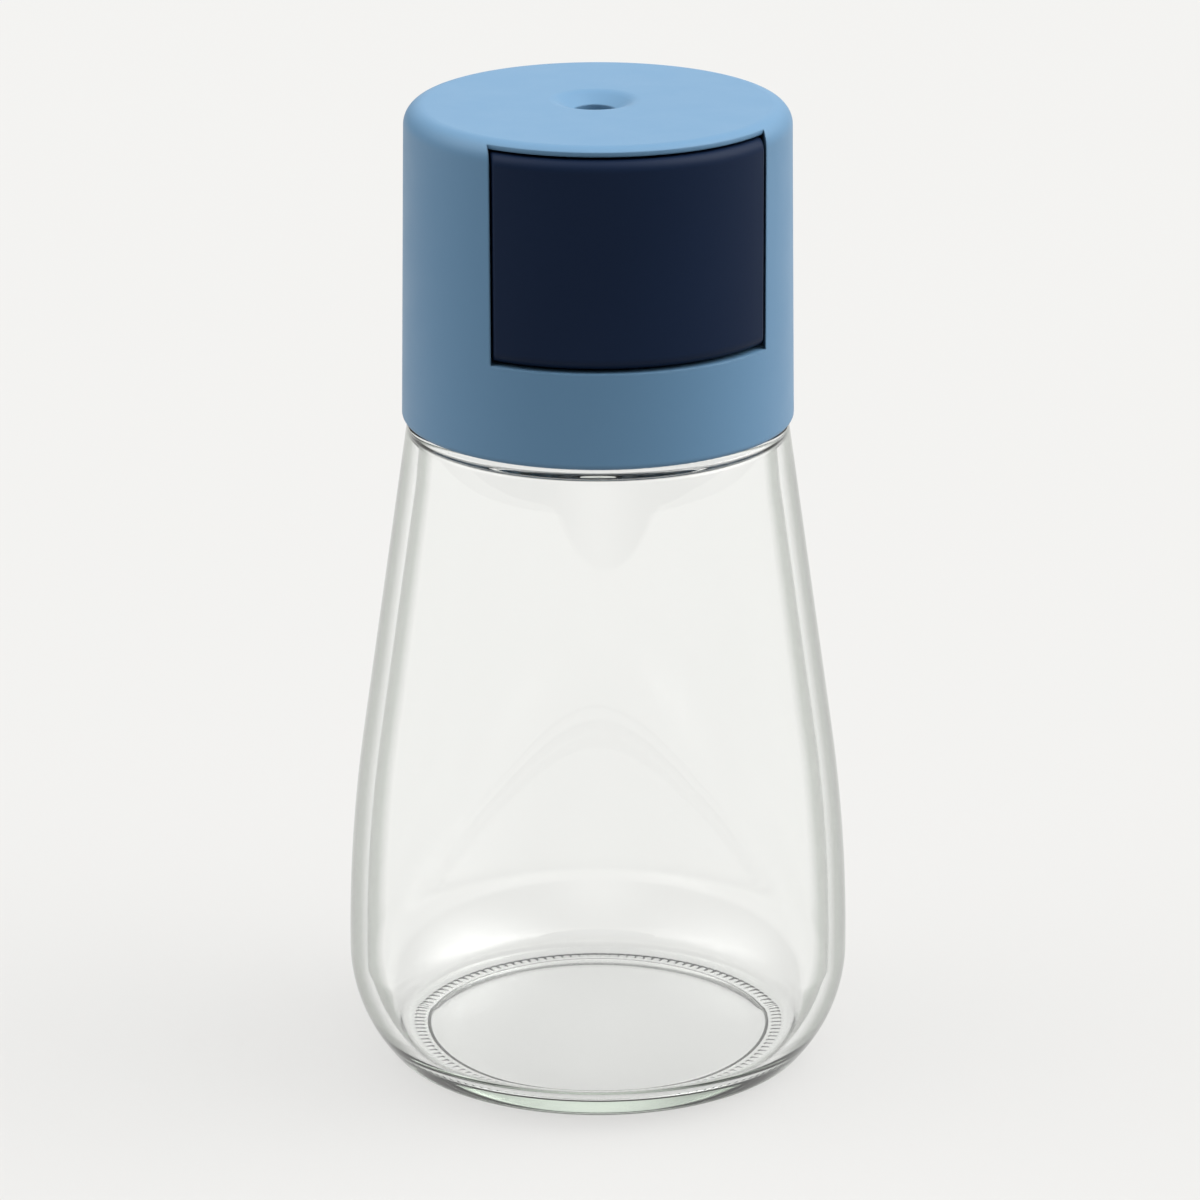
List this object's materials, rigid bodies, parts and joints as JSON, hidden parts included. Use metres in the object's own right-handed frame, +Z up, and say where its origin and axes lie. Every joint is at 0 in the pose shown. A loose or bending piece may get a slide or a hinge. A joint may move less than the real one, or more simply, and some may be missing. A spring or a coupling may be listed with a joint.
{
  "type": "push-button spice dispenser",
  "caption": "Pear-shaped clear glass spice jar with a plastic dosing cap: a curved side button slides in and the dose leaves by a dished hole in the top.",
  "frame": {"origin": "centre of the jar's foot, on the surface it stands on", "axes": "+Z up along the jar's axis, -Y the way the button faces, +X to the right as the button is faced"},
  "size_m": [0.065, 0.065, 0.1267],
  "materials": {
    "clear_glass": "clear polished",
    "cap_plastic": "fine satin",
    "button_plastic": "satin"
  },
  "bodies": {
    "shaker": {"glass_jar": "clear_glass", "cap": "cap_plastic"},
    "button": {"push_button": "button_plastic"}
  },
  "joints": [
    {"name": "button_press", "type": "slide", "parent": "shaker", "child": "button", "axis": [0, 1, 0], "range_m": [0, 0.0025], "stiffness_N_per_m": 600, "springref_m": -0.002}
  ]
}
